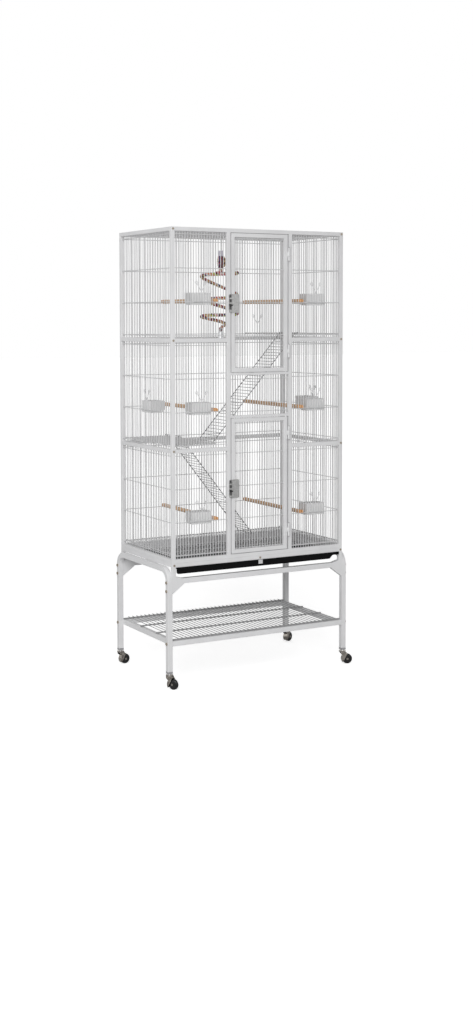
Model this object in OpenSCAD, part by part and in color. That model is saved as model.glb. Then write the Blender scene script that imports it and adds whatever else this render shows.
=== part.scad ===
// Rolling bird cage on a two-arch stand. Millimetres, +Z up, floor at z = 0, front towards -Y.

/* [View] */
// piece to draw

/* [Cage] */
// outside width, left to right
cage_w = 765; // [740:5:800]
// outside depth, front to back
cage_d = 460; // [440:5:490]
// height of one tier, rail centre to rail centre
tier_h = 416; // [408:1:430]
// side of the square cage tube
tube = 15; // [14:0.5:16]
// underside of the cage's base rails above the floor
base_z = 462; // [450:1:480]

/* [Wires] */
// wire across its corners
wire_d = 2.9; // [2.5:0.1:3.2]
// wanted distance between upright wires
wire_pitch = 11.55; // [11:0.05:12.5]
// wanted distance between the upright wires of the two sides, and between the racks' wires
side_pitch = 14.7; // [14:0.1:16]
// wanted distance between the wires of the lower shelf
shelf_pitch = 18.1; // [17:0.1:20]
// clear gap between a rail and the first level wire
rail_gap = 11; // [10:0.5:12]
// how deep two crossing wires are welded into each other
weld = 0.3; // [0.2:0.05:0.4]

/* [Doors] */
// centre of each front upright beside the doors
mullion_x = 137.5; // [134:0.5:140]
// height of the two thin cross bars between the uprights
bar_h = 10; // [8:0.5:12]
// underside of the upper cross bar
upper_bar_z = 1181.5; // [1176:0.5:1186]
// underside of the lower cross bar
lower_bar_z = 1018; // [1012:0.5:1022]
// clear gap above and below a door
door_gap = 2; // [1.5:0.25:3]
// gap between the hinge side of a door and its upright
hinge_gap = 5; // [4.5:0.25:6]
// gap between the latch side of the upper door and its upright
upper_latch_gap = 4; // [3:0.25:5]
// gap between the latch side of the lower door and its upright
lower_latch_gap = 3.5; // [2:0.25:4]
// height of a hinge
hinge_h = 52; // [46:1:60]
// height of a latch plate
latch_h = 72; // [66:1:76]
// travel of a latch pin
latch_travel = 12; // [10:0.5:12]

/* [Stand] */
// side of the square stand tube
stand_tube = 20; // [19:0.5:22]
// outside bend radius of an arch
arch_r = 55; // [50:1:65]
// underside of the rails that carry the cage
stand_rail_z = 399; // [394:1:404]
// underside of the shelf frame
shelf_z = 162; // [150:1:180]
// lower end of the legs
leg_z = 66; // [64:1:70]
// thickness of the shelf's carrying wires
carrier_d = 6; // [5:0.5:7]
// thickness of the shelf's closely spaced wires
shelf_wire_d = 3; // [2.6:0.1:3.4]

/* [Casters] */
// wheel diameter
wheel_d = 40; // [38:1:42]
// wheel width
wheel_w = 16; // [14:0.5:17]
// distance from the swivel axis to the axle
trail = 20; // [18:0.5:21]
// stem radius
stem_r = 5.5; // [5:0.25:6]
// axle radius
axle_r = 3; // [2.5:0.25:3.5]

/* [Tray] */
// height of the tray
tray_h = 24.7; // [22:0.1:25]
// wall of the tray
tray_wall = 2.5; // [2:0.25:3]
// width of each side flange
flange_w = 48; // [44:1:52]

/* [Fittings] */
// width of a food cup
cup_w = 84; // [82:1:100]
// reach of a food cup into the cage
cup_d = 58; // [50:1:64]
// height of a food cup
cup_h = 46; // [42:1:56]
// wall of a food cup
cup_wall = 2.5; // [2:0.25:3]
// perch diameter
perch_d = 16; // [14:0.5:18]
// width of a ladder over its side wires
ladder_w = 124; // [116:1:126]
// distance between ladder rungs
rung_pitch = 15; // [14:0.5:17]
// width of a platform, from its free edge to the cage side
platform_w = 184; // [180:1:186]

/* [Toy] */
// rope diameter
rope_d = 12; // [10:0.5:13]
// radius of the rope's loops
loop_r = 71; // [66:1:80]
// how far the loops hang to the side of the toy's axis
loop_off = 5.5; // [3:0.5:9]
// drop of one rope loop
loop_drop = 80; // [76:1:86]
// how much lower the middle loop hangs
loop_sag = 14; // [0:1:16]

/* [Hidden] */
// half sizes of the cage
hw = cage_w / 2;
hd = cage_d / 2;
// centre height of rail i, counted from the bottom
function rail_z(i) = base_z + tube * 1.5 + i * tier_h;
// top of the cage
top_z = rail_z(3) + tube / 2;
// distance from a rail centre to its first level wire
first_wire = tube / 2 + rail_gap;
// level wires of tier i
function levels(i) = [for (k = [0:3]) rail_z(i) + first_wire + k * (tier_h - 2 * first_wire) / 3];
// wire k of tier i
function level(i, k) = levels(i)[k];
// sides of a wire's section: two crossing wires meet corner to corner
wire_fn = 8;
// depth of the upright and of the level wires behind a panel's outer face
upright_in = tube / 2 + 1;
level_in = upright_in - wire_d + weld;
// inner face of the upright wires
inner_in = upright_in + wire_d / 2;
// gap left where a round piece lies on its seat
seat = 0.3;
// positions of evenly spaced wires between two tubes
function wire_count(a, b, p = wire_pitch) = round((b - a) / p);
function spread(a, b, p = wire_pitch) =
    let (n = wire_count(a, b, p)) [for (i = [1:1:n - 1]) a + i * (b - a) / n];
// place of the middle of gap i between two tubes
function mid_gap(a, b, i) = a + (i + 0.5) * (b - a) / wire_count(a, b);
// inner faces of the corner posts and of the uprights beside the doors
post_x = hw - tube;
post_y = hd - tube;
mull_out = mullion_x + tube / 2;
mull_in = mullion_x - tube / 2;
// rear wires repeat the front spacing so that perches fit both
rear_x = concat(spread(-post_x, -mull_out), [-mull_out], spread(-mull_out, mull_out), [mull_out],
    spread(mull_out, post_x));
// doors
upper_z = [upper_bar_z + bar_h - 0.5 + door_gap, top_z - tube - door_gap];
lower_z = [rail_z(0) + tube / 2 + door_gap, lower_bar_z - door_gap];
upper_x = [-mull_in + upper_latch_gap, mull_in - hinge_gap];
lower_x = [-mull_in + lower_latch_gap, mull_in - hinge_gap - 2];
door_wire_in = 4;
// hinges
knuckle_r = 4;
pin_r = 1.6;
running = 0.05;
hinge_x = mull_in - hinge_gap / 2;
hinge_y = -hd - knuckle_r - 1;
leaf_t = 1.5;
hinge_in = [75, 79, 64, 76];
upper_hinges = [upper_z[1] - hinge_in[0], upper_z[0] + hinge_in[1]];
lower_hinges = [lower_z[1] - hinge_in[2], lower_z[0] + hinge_in[3]];
// latches
plate_t = 2;
latch_zs = [upper_z[0] + 263, lower_z[0] + 252];
latch_pin_r = 2;
latch_x = -mull_in - 4;
latch_y = -hd - 7;
keeper_w = 8;
latch_corner = 7.5;
door_plate_x = -94;
lug_zs = [-2, 16];
lug_h = 6;
eye_z = -31;
keeper_h = 6.5;
handle_h = 9.5;
// pin limits from the middle of a latch: tip clear of the eye, top still in its lug when dropped
pin_zs = [eye_z + keeper_h + 1, lug_zs[1] + lug_h + latch_travel];
// stand
arch_x = [hw, hw + stand_tube];
leg_y = hd - stand_tube / 2;
leg_x = hw + stand_tube / 2;
rail_top = stand_rail_z + stand_tube;
gusset = [[0, -38], [0, 28], [15, 28], [50, 18.5], [50, -1.5]];
gusset_top = stand_rail_z + 28;
bolt_zs = [stand_rail_z + 6.5, stand_rail_z - 26.5, shelf_z + stand_tube / 2];
bolt_head_r = 5.5;
bolt_head_t = 4;
shelf_top = shelf_z + stand_tube;
// casters: x side, y side, heading of the trail in degrees
caster_fl = [-1, -1, -65];
caster_rl = [-1, 1, 7];
caster_fr = [1, -1, -21];
caster_rr = [1, 1, 21];
axle_z = wheel_d / 2;
fork_top = 54;
fork_plate = 4;
fork_r = 14;
cheek_t = 2;
cheek_in = wheel_w / 2 + 1;
// web between the wheel halves, hood round the wheel, how much of the wheel's face the hood covers
web_t = 3;
hood_gap = 1.5;
hood_t = 2;
hood_from = 11;
hood_tilt = 152;
stem_flange_t = 2;
insert_z = leg_z - 8;
// tray
tray_top = base_z - 0.3;
tray_bottom = tray_top - tray_h;
tray_x = post_x - 1.5;
pan_x = tray_x - flange_w;
flange_t = 2.5;
fascia_t = 2.5;
runner_t = 1.5;
runner_reach = 22;
runner_wall = 3;
runner_y = post_y - 15;
// floor grate and platforms
cross_d = 3;
edge_d = 4;
grate_z = level(0, 0) + wire_d / 2 + cross_d / 2 + seat;
bar_drop = cross_d / 2 + wire_d / 2 - weld;
rack_y = post_y - 1;
rack_x = hw - inner_in - 1.5;
hook_y = hd - level_in + 0.6;
bar_pitch = 82;
// platform free edge, and heights of the platforms' long wires
edge_x = rack_x - platform_w;
upper_platform_z = grate_z + 2 * tier_h;
lower_platform_z = grate_z + tier_h;
// gaps of the front and rear that the hooked wires pass through
rack_hooks = [for (i = [5, 12, wire_count(mull_out, post_x) - 1]) mid_gap(mull_out, post_x, i)];
rack_step = 2 * rack_hooks[0] / wire_count(-rack_hooks[0], rack_hooks[0], side_pitch);
// ladders
stile_d = 4;
rung_d = 2.5;
upper_ladder_y = 20 - post_y;
lower_ladder_y = post_y - 4 - ladder_w;
ladder_foot_x = round((mull_out + 5 + rack_hooks[0]) / rack_step) * rack_step - rack_hooks[0];
// perches and cups
perch_sink = 4;
perch_rise = perch_d / 2 + wire_d / 2 + seat - perch_sink;
front_step = (post_x - mull_out) / wire_count(mull_out, post_x);
// the cups' middles are in line with upright wires, and their lugs stand halfway between two
left_cup_x = -post_x + round(118 / front_step) * front_step;
right_cup_x = post_x - round(105 / front_step) * front_step;
// the perches stand at the last upright wire that leaves a gap to the cups beside them
perch_gap = 12;
perch_wire = floor((right_cup_x - cup_w / 2 - perch_d / 2 - perch_gap - mull_out) / front_step);
perch_x = mull_out + perch_wire * front_step;
side_xs = spread(-post_y, post_y, side_pitch);
side_step = side_xs[1] - side_xs[0];
side_cup_ys = [side_xs[14], side_xs[12]];
front_lug = (floor((cup_w / 2 - 4) / front_step - 0.5) + 0.5) * front_step;
side_lug = (floor((cup_w / 2 - 4) / side_step - 0.5) + 0.5) * side_step;
cup_drop = 11;
bevel = 14;
spare_x = rear_x[len(rear_x) - round(119 / front_step)];
spare_rise = 55.5;
// cup hooks
hook_span = 21;
hook_rise = 34;
hook_curl = 6;
hook_t = 2;
// toy: axis, heading of its first loop, loop ends and tilt
roof_z = rail_z(3);
roof_xs = spread(-post_x, post_x);
toy_x = roof_xs[round(0.44 * len(roof_xs)) - 1];
toy_y = 0;
loop_turn = -29.5;
hook_drop = 64.5;
cap_r = 10;
cap_h = 27;
bundle_r = 19;
bundle_h = 41;
bell_h = 23;
bell_r = 12.5;
bell_top_r = 9.3;
bell_t = 1.3;
bell_neck = 5;
rope_top = roof_z - hook_drop - cap_h - bundle_h;
rope_end = rope_top - 252;
bend = rope_d * 0.75;
loop_tilt = 12.6;
loop_z = rope_top - rope_d - bend + loop_tilt + 1;
rope_sides = 6;
hook_r = 1.5;

// box between pairs of limits
module block(x, y, z) {
    translate([x[0], y[0], z[0]])
        cube([x[1] - x[0], y[1] - y[0], z[1] - z[0]]);
}

// wire of a given width, standing on the origin
module wire(length, d) {
    cylinder(h = length, d = d, $fn = wire_fn);
}

module wire_x(x, y, z, d) {
    translate([x[0], y, z])
        rotate([0, 90, 0])
            wire(x[1] - x[0], d);
}

module wire_y(x, y, z, d) {
    translate([x, y[0], z])
        rotate([-90, 0, 0])
            wire(y[1] - y[0], d);
}

module wire_z(x, y, z, d) {
    translate([x, y, z[0]])
        wire(z[1] - z[0], d);
}

// round bar along Y or X, centred on a point
module round_y(x, y, z, r) {
    translate([x, y[0], z])
        rotate([-90, 0, 0])
            cylinder(h = y[1] - y[0], r = r, $fn = 48);
}

module round_x(x, y, z, r) {
    translate([x[0], y, z])
        rotate([0, 90, 0])
            cylinder(h = x[1] - x[0], r = r, $fn = 48);
}

module round_z(x, y, z, r) {
    translate([x, y, z[0]])
        cylinder(h = z[1] - z[0], r = r, $fn = 48);
}

// corner posts and side rails of one cage side
module side_frame(s) {
    color([0.85, 0.85, 0.84])
        for (y = [-hd, post_y])
            block(s > 0 ? [post_x, hw] : [-hw, -post_x], [y, y + tube], [base_z, top_z]);
    color([0.85, 0.85, 0.84])
        for (i = [0:3])
            block(s > 0 ? [post_x, hw] : [-hw, -post_x], [-post_y, post_y],
                [rail_z(i) - tube / 2, rail_z(i) + tube / 2]);
}

module left_frame() {
    side_frame(-1);
}

module right_frame() {
    side_frame(1);
}

// rails, door uprights and thin cross bars of the front
module front_frame() {
    color([0.87, 0.87, 0.86])
        union() {
            for (i = [0, 3])
                block([-post_x, post_x], [-hd, -post_y], [rail_z(i) - tube / 2, rail_z(i) + tube / 2]);
            for (x = [-mull_out, mull_in])
                block([x, x + tube], [-hd, -post_y], [rail_z(0) + tube / 2, rail_z(3) - tube / 2]);
            for (i = [1, 2])
                for (x = [[-post_x, -mull_out], [mull_out, post_x]])
                    block(x, [-hd, -post_y], [rail_z(i) - tube / 2, rail_z(i) + tube / 2]);
            for (z = [upper_bar_z, lower_bar_z])
                block([-mull_in, mull_in], [-hd, -post_y], [z, z + bar_h - 0.5]);
        }
}

module rear_frame() {
    color([0.85, 0.85, 0.84])
        for (i = [0:3])
            block([-post_x, post_x], [post_y, hd], [rail_z(i) - tube / 2, rail_z(i) + tube / 2]);
}

// four tubes between the posts, under the cage's bottom rails
module base_rails() {
    color([0.82, 0.82, 0.81])
        for (s = [-1, 1]) {
            block(s > 0 ? [post_x, hw] : [-hw, -post_x], [-post_y, post_y], [base_z, base_z + tube]);
            block([-post_x, post_x], s > 0 ? [post_y, hd] : [-hd, -post_y], [base_z, base_z + tube]);
        }
}

// upright wires over one tier and its four level wires, lying behind the plane y = -face
module panel_tier(xs, ends, z, hs, face) {
    union() {
        for (x = xs)
            wire_z(x, -face + upright_in, z, wire_d);
        for (h = hs)
            wire_x(ends, -face + level_in, h, wire_d);
    }
}

// clear height of tier i
function tier_span(i) = [rail_z(i) + tube / 2, rail_z(i + 1) - tube / 2];

module panel(xs, ends, face) {
    color([0.88, 0.88, 0.87])
        for (i = [0:2])
            panel_tier(xs, ends, tier_span(i), levels(i), face);
}

module front_left_wires() {
    panel(spread(-post_x, -mull_out), [-post_x, -mull_out], hd);
}

module front_right_wires() {
    panel(spread(mull_out, post_x), [mull_out, post_x], hd);
}

// fixed panel between the two cross bars
module front_middle_wires() {
    bottom = lower_bar_z + bar_h - 0.5;
    color([0.88, 0.88, 0.87])
        panel_tier(spread(-mull_in, mull_in), [-mull_in, mull_in], [bottom, upper_bar_z],
            [bottom + 14, upper_bar_z - 15], hd);
}

module rear_wires() {
    rotate([0, 0, 180])
        panel(rear_x, [-post_x, post_x], hd);
}

module left_wires() {
    rotate([0, 0, -90])
        panel(side_xs, [-post_y, post_y], hw);
}

module right_wires() {
    rotate([0, 0, 90])
        panel(side_xs, [-post_y, post_y], hw);
}

module roof_wires() {
    color([0.88, 0.88, 0.87])
        union() {
            for (x = roof_xs)
                wire_y(x, [-post_y, post_y], roof_z, wire_d);
            for (y = [-post_y + rail_gap, -post_y / 3, post_y / 3, post_y - rail_gap])
                wire_x([-post_x, post_x], y, roof_z + wire_d - weld, wire_d);
        }
}

module door_frame(x, z) {
    color([0.87, 0.87, 0.86])
        union() {
            for (a = [x[0], x[1] - tube])
                block([a, a + tube], [-hd, -post_y], z);
            for (a = [z[0], z[1] - tube])
                block([x[0] + tube, x[1] - tube], [-hd, -post_y], [a, a + tube]);
        }
}

// wires inside a door frame, level with those of the panels beside it
module door_wires(x, z, hs) {
    ends = [x[0] + tube, x[1] - tube];
    inner = [z[0] + tube, z[1] - tube];
    color([0.88, 0.88, 0.87])
        panel_tier(spread(ends[0], ends[1]), ends, inner,
            concat([inner[0] + door_wire_in], hs, [inner[1] - door_wire_in]), hd);
}

module upper_door_frame() {
    door_frame(upper_x, upper_z);
}

module upper_door_wires() {
    door_wires(upper_x, upper_z, [level(2, 0), level(2, 1), level(2, 2)]);
}

module lower_door_frame() {
    door_frame(lower_x, lower_z);
}

module lower_door_wires() {
    door_wires(lower_x, lower_z, [level(0, 1), level(0, 2), level(0, 3)]);
}

// section of a hinge knuckle with its tongue, towards +X when s = 1
module knuckle(s, z, bore) {
    reach = 5.5;
    translate([hinge_x, hinge_y, z[0]])
        linear_extrude(height = z[1] - z[0])
            difference() {
                union() {
                    circle(r = knuckle_r, $fn = 48);
                    translate([s > 0 ? 0 : -reach, 1.5])
                        square([reach, knuckle_r + 1 - 1.5]);
                }
                circle(r = bore, $fn = 48);
            }
}

module leaf(s, z) {
    block(s > 0 ? [hinge_x + 5, hinge_x + 16] : [hinge_x - 16, hinge_x - 5], [-hd - leaf_t, -hd],
        [z - hinge_h / 2, z + hinge_h / 2]);
}

// fixed hinge halves on the right-hand upright
module hinge_leaves() {
    color([0.6, 0.6, 0.6])
        for (z = concat(upper_hinges, lower_hinges))
            union() {
                leaf(1, z);
                knuckle(1, [z + hinge_h / 6 + 0.25, z + hinge_h / 2], pin_r);
                knuckle(1, [z - hinge_h / 2, z - hinge_h / 6 - 0.25], pin_r);
            }
}

module hinge_pins() {
    color([0.5, 0.5, 0.5])
        for (z = concat(upper_hinges, lower_hinges))
            union() {
                round_z(hinge_x, hinge_y, [z - hinge_h / 2 - 1, z + hinge_h / 2 + 1], pin_r);
                for (a = [z - hinge_h / 2 - 1.5, z + hinge_h / 2])
                    round_z(hinge_x, hinge_y, [a, a + 1.5], pin_r + 1.4);
            }
}

module door_leaves(zs) {
    color([0.6, 0.6, 0.6])
        for (z = zs)
            union() {
                leaf(-1, z);
                knuckle(-1, [z - hinge_h / 6 + 0.25, z + hinge_h / 6 - 0.25], pin_r + running);
            }
}

module upper_door_leaves() {
    door_leaves(upper_hinges);
}

module lower_door_leaves() {
    door_leaves(lower_hinges);
}

// plate outline with two rounded outer corners, as one flat sheet
module latch_sheet(x, zc, left) {
    r = latch_corner;
    z0 = zc - latch_h / 2;
    z1 = zc + latch_h / 2;
    intersection() {
        block(x, [-hd - plate_t, -hd], [z0, z1]);
        union() {
            block(left ? [x[0] + r, x[1] + r] : [x[0] - r, x[1] - r], [-hd - plate_t, -hd], [z0, z1]);
            block(x, [-hd - plate_t, -hd], [z0 + r, z1 - r]);
            for (z = [z0 + r, z1 - r])
                round_y(left ? x[0] + r : x[1] - r, [-hd - plate_t, -hd], z, r);
        }
    }
}

// fixed latch halves on the left-hand upright, each with an eye for the pin
module latch_keepers() {
    color([0.66, 0.66, 0.66])
        for (zc = latch_zs)
            difference() {
                union() {
                    latch_sheet([-mull_in - keeper_w, -mull_in], zc, true);
                    block([-mull_in - keeper_w, -mull_in], [latch_y - 4, -hd - plate_t],
                        [zc + eye_z, zc + eye_z + keeper_h]);
                }
                round_z(latch_x, latch_y, [zc + eye_z - 1, zc + eye_z + keeper_h + 1], latch_pin_r + 0.3);
            }
}

// latch half on a door, with two lugs that reach over the upright
module latch_plate(x, zc) {
    color([0.66, 0.66, 0.66])
        difference() {
            union() {
                latch_sheet([x, door_plate_x], zc, false);
                for (z = [zc + lug_zs[0], zc + lug_zs[1]]) {
                    block([latch_x - 4, x + 8], [latch_y - 4, latch_y + 4], [z, z + lug_h]);
                    block([x, x + 8], [latch_y + 4, -hd - plate_t], [z, z + lug_h]);
                }
            }
            round_z(latch_x, latch_y, [zc + lug_zs[0] - 1, zc + lug_zs[1] + lug_h + 1],
                latch_pin_r + running);
        }
}

module upper_latch_plate() {
    latch_plate(upper_x[0], latch_zs[0]);
}

module lower_latch_plate() {
    latch_plate(lower_x[0], latch_zs[1]);
}

// drop pin with its grip, drawn lifted clear of the eye
module latch_pin(zc) {
    grip_top = zc + lug_zs[0] - 0.2;
    color([0.08, 0.08, 0.08])
        union() {
            round_z(latch_x, latch_y, [zc + pin_zs[0], zc + pin_zs[1]], latch_pin_r);
            round_z(latch_x, latch_y, [grip_top - handle_h, grip_top], 3.6);
            round_y(latch_x, [latch_y - 14, latch_y], grip_top - handle_h / 2, 2.6);
        }
}

module upper_latch_pin() {
    latch_pin(latch_zs[0]);
}

module lower_latch_pin() {
    latch_pin(latch_zs[1]);
}

// pan heads on the corner posts, and one over the tray
module frame_screws() {
    head_r = 4;
    head_t = 2;
    color([0.5, 0.44, 0.38]) {
        for (x = [-hw + tube / 2, hw - tube / 2])
            for (z = [base_z + tube / 2, rail_z(1), rail_z(2), rail_z(3)]) {
                round_y(x, [-hd - head_t, -hd], z, head_r);
                round_y(x, [hd, hd + head_t], z, head_r);
            }
        round_y(0, [-hd - head_t, -hd], base_z + tube / 2, head_r);
    }
}

// shallow pan with side flanges and a front board that is cut away at its lower right corner
module tray() {
    step_x = pan_x + 4;
    step_z = tray_bottom + 14;
    r = 8;
    y0 = -hd - 0.3;
    color([0.05, 0.05, 0.055])
        union() {
            difference() {
                block([-pan_x, pan_x], [y0, post_y - 1], [tray_bottom, tray_top]);
                block([-pan_x + tray_wall, pan_x - tray_wall], [y0 + tray_wall, post_y - 1 - tray_wall],
                    [tray_bottom + tray_wall, tray_top + 1]);
            }
            for (x = [[-tray_x, -pan_x], [pan_x, tray_x]])
                block(x, [y0, post_y - 1], [tray_top - flange_t, tray_top]);
            translate([0, y0, 0])
                rotate([90, 0, 0])
                    linear_extrude(height = fascia_t)
                        union() {
                            polygon([[-tray_x + r, tray_bottom], [step_x, tray_bottom],
                                [step_x + 14, step_z], [tray_x, step_z], [tray_x, tray_top],
                                [-tray_x, tray_top], [-tray_x, tray_bottom + r],
                                [-tray_x + r * 0.3, tray_bottom + r * 0.3]]);
                        }
        }
}

module tray_tab() {
    color([0.75, 0.75, 0.75])
        block([-9, 9], [-hd - 0.3 - fascia_t - 1.5, -hd - 0.3 - fascia_t], [tray_top - 16, tray_top]);
}

// angle strips under the side rails that carry the tray's flanges
module tray_runners() {
    low = tray_top - flange_t;
    color([0.8, 0.8, 0.8])
        for (s = [-1, 1])
            scale([s, 1, 1])
                union() {
                    block([post_x - runner_reach, post_x + runner_wall], [-runner_y, runner_y],
                        [low - runner_t, low]);
                    block([post_x, post_x + runner_wall], [-runner_y, runner_y],
                        [low - runner_t, base_z]);
                }
}

// wire rack: wires along Y over bars along X; some wires are hooked and lie on the level wires
module rack(ends, z, hooks) {
    marks = concat([ends[0]], hooks, [ends[1]]);
    bar_y = rack_y - cross_d / 2;
    union() {
        for (i = [0:len(marks) - 2])
            for (x = spread(marks[i], marks[i + 1], side_pitch))
                wire_y(x, [-rack_y, rack_y], z, wire_d);
        for (x = hooks)
            wire_y(x, [-hook_y, hook_y], z, cross_d);
        wire_y(ends[1] - cross_d / 2, [-rack_y, rack_y], z, cross_d);
        for (y = concat([-bar_y], spread(-bar_y, bar_y, bar_pitch), [bar_y]))
            wire_x(ends, y, z - bar_drop, cross_d);
    }
}

module floor_grate() {
    color([0.45, 0.45, 0.45])
        union() {
            rack([-rack_x, rack_x], grate_z, concat([for (i = [2:-1:0]) -rack_hooks[i]], rack_hooks));
            wire_y(cross_d / 2 - rack_x, [-rack_y, rack_y], grate_z, cross_d);
        }
}

module platform(z) {
    union() {
        rack([edge_x, rack_x], z, rack_hooks);
        wire_y(edge_x + edge_d / 2, [-rack_y, rack_y], z, edge_d);
    }
}

module platforms() {
    color([0.86, 0.86, 0.85]) {
        platform(upper_platform_z);
        rotate([0, 0, 180])
            platform(lower_platform_z);
    }
}

// ladder whose top hooks lie on an edge wire at (x0, z0), down to (x1, z1)
module ladder(x0, z0, x1, z1, y0) {
    run = x1 - x0;
    drop = z1 - z0;
    length = sqrt(run * run + drop * drop);
    slope = atan2(run, drop);
    steps = floor(length / rung_pitch);
    union() {
        for (y = [y0 + stile_d / 2, y0 + ladder_w - stile_d / 2])
            translate([x0, y, z0])
                rotate([0, slope, 0])
                    wire(length, stile_d);
        for (i = [0:steps])
            wire_y(x0 + run * i / steps, [y0 + stile_d / 2, y0 + ladder_w - stile_d / 2],
                z0 + drop * i / steps, rung_d);
        for (y = [y0 + stile_d / 2, y0 + ladder_w - stile_d / 2])
            wire_x(run < 0 ? [x0 - 1, x0 + 9] : [x0 - 9, x0 + 1], y, z0, stile_d);
    }
}

module ladders() {
    rest = edge_d / 2 + stile_d / 2 + seat;
    foot = wire_d / 2 + rung_d / 2 + seat;
    color([0.84, 0.84, 0.83]) {
        ladder(edge_x - 3, upper_platform_z + rest, -edge_x + 1, lower_platform_z + rest,
            upper_ladder_y);
        ladder(-edge_x + 3, lower_platform_z + rest, ladder_foot_x, grate_z + foot,
            lower_ladder_y);
    }
}

// bent square tube: two legs and a top bar
module arch(s) {
    y0 = hd - arch_r;
    z0 = base_z - arch_r;
    color([0.8, 0.8, 0.79])
        union() {
            for (a = [-hd, hd - stand_tube])
                block(s > 0 ? arch_x : [-arch_x[1], -arch_x[0]], [a, a + stand_tube], [leg_z, z0]);
            block(s > 0 ? arch_x : [-arch_x[1], -arch_x[0]], [-y0, y0], [base_z - stand_tube, base_z]);
            for (t = [-1, 1])
                translate([s > 0 ? arch_x[0] : -arch_x[1], t * y0, z0])
                    rotate([90, 0, 90])
                        rotate([0, 0, t > 0 ? 0 : 90])
                            rotate_extrude(angle = 90, $fn = 64)
                                translate([arch_r - stand_tube, 0])
                                    square([stand_tube, stand_tube]);
        }
}

module left_arch() {
    arch(-1);
}

module right_arch() {
    arch(1);
}

// rail with a gusset at each end and two short posts that carry the cage
module stand_rail(t) {
    y = t > 0 ? [hd - stand_tube, hd] : [-hd, -hd + stand_tube];
    union() {
        block([-hw, hw], y, [stand_rail_z, rail_top]);
        for (s = [-1, 1]) {
            translate([0, y[1], stand_rail_z])
                rotate([90, 0, 0])
                    linear_extrude(height = stand_tube)
                        polygon([for (p = gusset) [s * (hw - p[0]), p[1]]]);
            block(s > 0 ? [hw - tube, hw] : [-hw, -hw + tube],
                t > 0 ? [hd - tube, hd] : [-hd, -hd + tube], [gusset_top - 1, base_z]);
        }
    }
}

module stand_rails() {
    color([0.79, 0.79, 0.78]) {
        stand_rail(-1);
        stand_rail(1);
    }
}

// dome-less bolt heads on the outer faces of the legs
module stand_bolts() {
    color([0.45, 0.43, 0.42])
        for (s = [-1, 1])
            for (y = [-leg_y, leg_y])
                for (z = bolt_zs)
                    round_x(s > 0 ? [arch_x[1], arch_x[1] + bolt_head_t]
                        : [-arch_x[1] - bolt_head_t, -arch_x[1]], y, z, bolt_head_r);
}

module shelf_frame() {
    color([0.79, 0.79, 0.78])
        union() {
            for (y = [-hd, hd - stand_tube])
                block([-hw, hw], [y, y + stand_tube], [shelf_z, shelf_top]);
            for (x = [-hw, hw - stand_tube])
                block([x, x + stand_tube], [-hd + stand_tube, hd - stand_tube], [shelf_z, shelf_top]);
        }
}

// closely spaced wires welded over four carriers that lie on the shelf frame
module shelf_wires() {
    color([0.84, 0.84, 0.83])
        union() {
            for (y = [-hd + 14, -80, 59, hd - 14])
                wire_x([-hw + 4, hw - 4], y, shelf_top + carrier_d / 2, carrier_d);
            for (x = spread(-hw + stand_tube / 2, hw - stand_tube / 2, shelf_pitch))
                wire_y(x, [-hd + 5, hd - 5], shelf_top + carrier_d + shelf_wire_d / 2 - weld, shelf_wire_d);
        }
}

module leg_inserts() {
    color([0.12, 0.12, 0.12])
        for (x = [-leg_x, leg_x])
            for (y = [-leg_y, leg_y])
                difference() {
                    block([x - stand_tube / 2, x + stand_tube / 2],
                        [y - stand_tube / 2, y + stand_tube / 2], [insert_z, leg_z]);
                    round_z(x, y, [insert_z - 1, leg_z + 1], stem_r);
                }
}

// stems with the flange that holds each swivel
module caster_stems() {
    color([0.8, 0.8, 0.82])
        for (x = [-leg_x, leg_x])
            for (y = [-leg_y, leg_y])
                union() {
                    round_z(x, y, [fork_top - fork_plate - stem_flange_t, leg_z], stem_r);
                    round_z(x, y, [fork_top - fork_plate - stem_flange_t, fork_top - fork_plate],
                        stem_r + 2.5);
                }
}

// puts a caster piece drawn along +X onto its leg and heading
module at_leg(c) {
    translate([c[0] * leg_x, c[1] * leg_y, 0])
        rotate([0, 0, c[2]])
            children();
}

// part of a disc round the axle that lies under the hood, seen along the axle
module hood_disc(r) {
    intersection() {
        circle(r = r, $fn = 96);
        rotate(hood_tilt)
            translate([hood_from, -r - 1])
                square([r, 2 * r + 2]);
    }
}

// sheet square to the axle, between two places along it
module upright_sheet(y) {
    translate([trail, y[1], axle_z])
        rotate([90, 0, 0])
            linear_extrude(height = y[1] - y[0])
                children();
}

// swivel plate, neck and hood, with a web that holds the axle
module fork(c) {
    out = cheek_in + cheek_t;
    inside = wheel_d / 2 + hood_gap;
    top = fork_top - axle_z;
    color([0.62, 0.63, 0.64])
        at_leg(c)
            difference() {
                union() {
                    round_z(0, 0, [fork_top - fork_plate, fork_top], fork_r);
                    for (y = [[-out, -cheek_in], [cheek_in, out]])
                        upright_sheet(y)
                            union() {
                                hood_disc(inside + hood_t);
                                polygon([[-8 - trail, top], [10 - trail, top], [-4, inside], [-16, 12],
                                    [-8 - trail, top - 12]]);
                            }
                    upright_sheet([-cheek_in, cheek_in])
                        difference() {
                            hood_disc(inside + hood_t);
                            circle(r = inside, $fn = 96);
                        }
                    upright_sheet([-web_t / 2, web_t / 2])
                        union() {
                            circle(r = 6, $fn = 48);
                            rotate(hood_tilt)
                                translate([0, -5])
                                    square([inside + hood_t / 2, 10]);
                        }
                }
                round_z(0, 0, [fork_top - fork_plate - 1, 80], stem_r + running);
                round_y(trail, [-20, 20], axle_z, axle_r);
            }
}

module fork_fl() {
    fork(caster_fl);
}

module fork_rl() {
    fork(caster_rl);
}

module fork_fr() {
    fork(caster_fr);
}

module fork_rr() {
    fork(caster_rr);
}

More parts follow.
